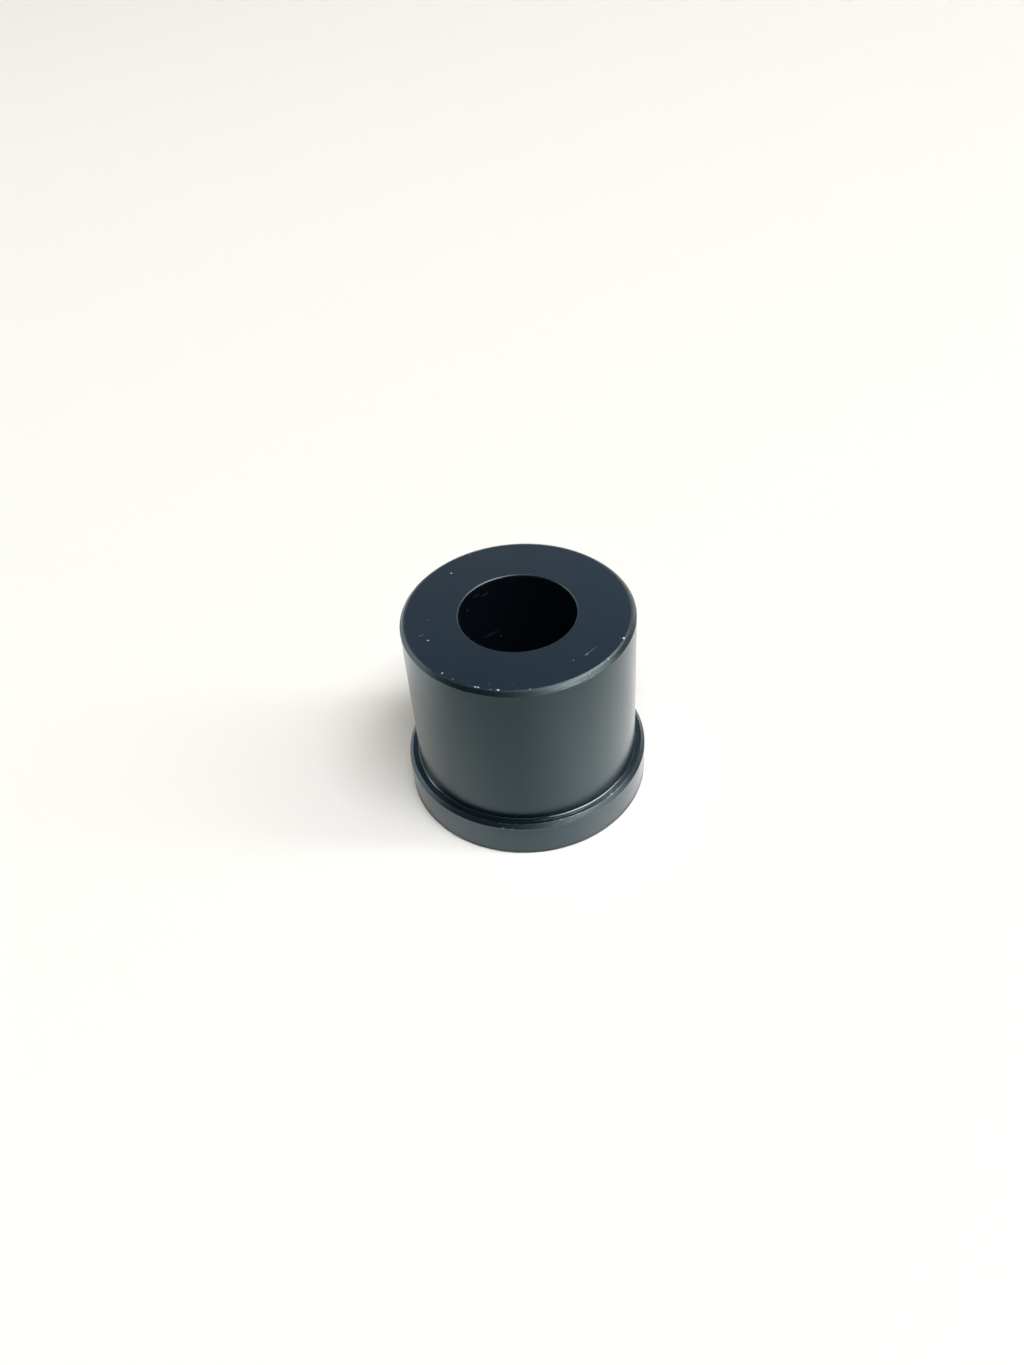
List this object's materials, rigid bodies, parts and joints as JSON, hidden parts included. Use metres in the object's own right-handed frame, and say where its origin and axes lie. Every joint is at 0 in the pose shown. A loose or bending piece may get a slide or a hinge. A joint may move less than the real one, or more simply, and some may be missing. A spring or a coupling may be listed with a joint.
{
  "type": "steering column bushing",
  "caption": "Flanged plain bushing turned from black plastic, with a straight through bore for a steering shaft and a chamfered body that presses into the end of a column tube.",
  "frame": {"origin": "centre of the flange's end face, on the bore's axis, which is the middle of the part's lowest plane", "axes": "+Z along the bore's axis, from the flange up to the chamfered end; the part is round, so X and Y are free"},
  "size_m": [0.0416, 0.0416, 0.0355],
  "materials": {
    "black_acetal": "satin, as turned"
  },
  "bodies": {
    "root": {"bushing": "black_acetal"}
  },
  "joints": []
}
